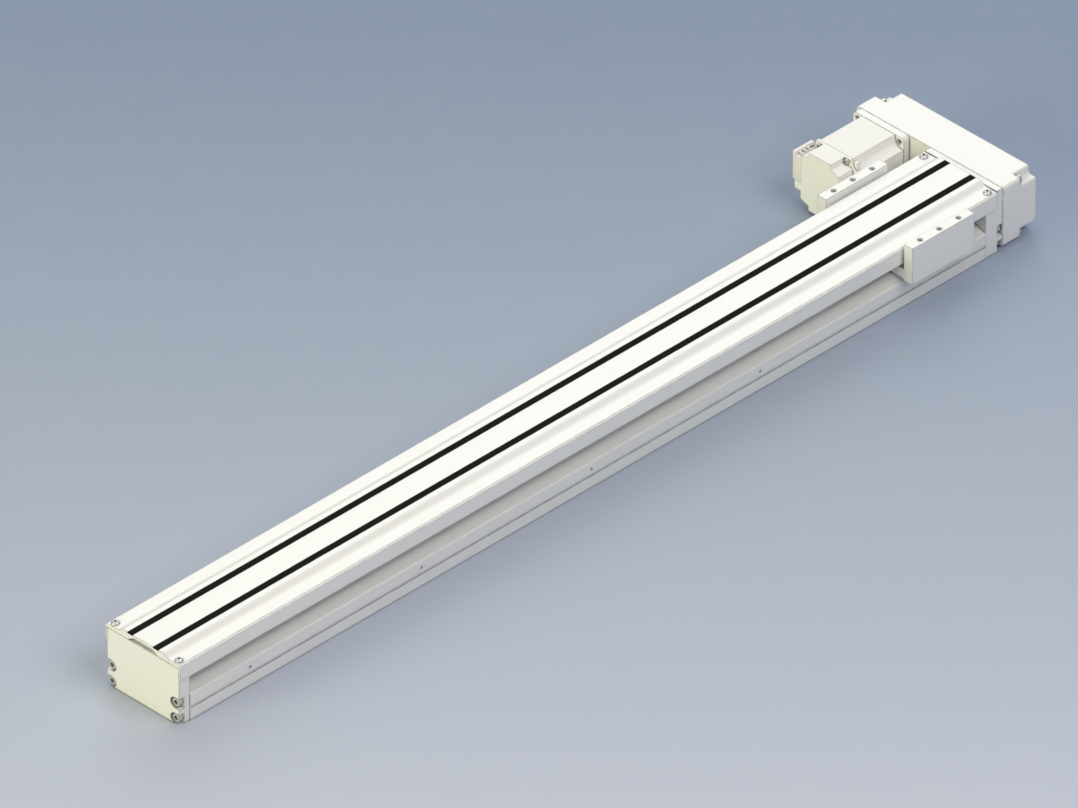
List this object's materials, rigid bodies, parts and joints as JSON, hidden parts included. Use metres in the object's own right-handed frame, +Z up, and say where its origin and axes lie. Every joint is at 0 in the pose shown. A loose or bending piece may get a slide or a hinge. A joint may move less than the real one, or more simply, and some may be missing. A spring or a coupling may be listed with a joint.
{
  "type": "linear actuator module",
  "caption": "Covered linear module with a U-shaped steel rail, ball screw, two-winged carriage and a motor beside the rail driven through a belt.",
  "frame": {"origin": "middle of the rail's bottom face, on the module's centre plane, half way along the rail", "axes": "+Y along the rail towards the belt housing, +Z up out of the mounting face, +X to the side away from the motor"},
  "size_m": [0.1863, 1.012, 0.067],
  "materials": {
    "rail_steel": "ground and plated, light sheen",
    "anodised": "clear anodised, satin",
    "strip_black": "black, fine ribs",
    "screw_steel": "bright zinc plate",
    "ground_steel": "ground and polished",
    "rubber_black": "matte",
    "cap_plastic": "moulded",
    "belt_rubber": "matte with fabric face",
    "motor_paint": "pale, fine textured paint",
    "connector_plastic": "moulded",
    "pin_brass": "plated"
  },
  "bodies": {
    "base": {"base_rail": "rail_steel", "idle_end_block": "anodised", "drive_end_block": "anodised", "idle_block_screws": "screw_steel", "drive_block_screws": "screw_steel", "top_cover": "anodised", "cover_strip_right": "strip_black", "cover_strip_left": "strip_black", "cover_screws": "screw_steel", "end_bumpers": "rubber_black", "bearing_outer_rings": "ground_steel", "bearing_retainer": "screw_steel", "retainer_screws": "screw_steel", "belt_housing": "anodised", "belt_cover_plate": "anodised", "cover_plate_screws": "screw_steel", "housing_screws": "screw_steel", "housing_long_screw": "screw_steel", "timing_belt": "belt_rubber", "motor_flange": "anodised", "motor_housing": "motor_paint", "motor_rear_cap": "motor_paint", "motor_cap_screws": "screw_steel", "motor_connector": "connector_plastic", "connector_pins": "pin_brass", "motor_screws": "screw_steel"},
    "carriage": {"nut_block": "rail_steel", "ball_rows": "ground_steel", "rear_end_cap": "cap_plastic", "front_end_cap": "cap_plastic", "end_cap_screws": "screw_steel", "rear_end_seal": "rubber_black", "front_end_seal": "rubber_black", "carriage_saddle": "anodised", "saddle_screws": "screw_steel"},
    "screw": {"ball_screw": "ground_steel", "lock_nut": "screw_steel", "bearing_inner_rings": "ground_steel", "screw_pulley": "anodised", "screw_pulley_bolt": "screw_steel"},
    "motor_rotor": {"motor_shaft": "ground_steel", "motor_pulley": "anodised", "motor_pulley_bolt": "screw_steel"}
  },
  "joints": [
    {"name": "carriage_slide", "type": "slide", "parent": "base", "child": "carriage", "axis": [0, 1, 0], "range_m": [-0.82, 0.01]},
    {"name": "screw_spin", "type": "hinge", "parent": "base", "child": "screw", "pos_m": [0, 0, 0.022], "axis": [0, 1, 0], "range_deg": [-400, 29600]},
    {"name": "motor_spin", "type": "hinge", "parent": "base", "child": "motor_rotor", "pos_m": [-0.097, 0.5, 0.03225], "axis": [0, 1, 0], "range_deg": [-400, 29600]}
  ],
  "couplings": [
    {"joint": "screw_spin", "follows": "carriage_slide", "rad_per_m": -628.32},
    {"joint": "motor_spin", "follows": "carriage_slide", "rad_per_m": -628.32}
  ]
}
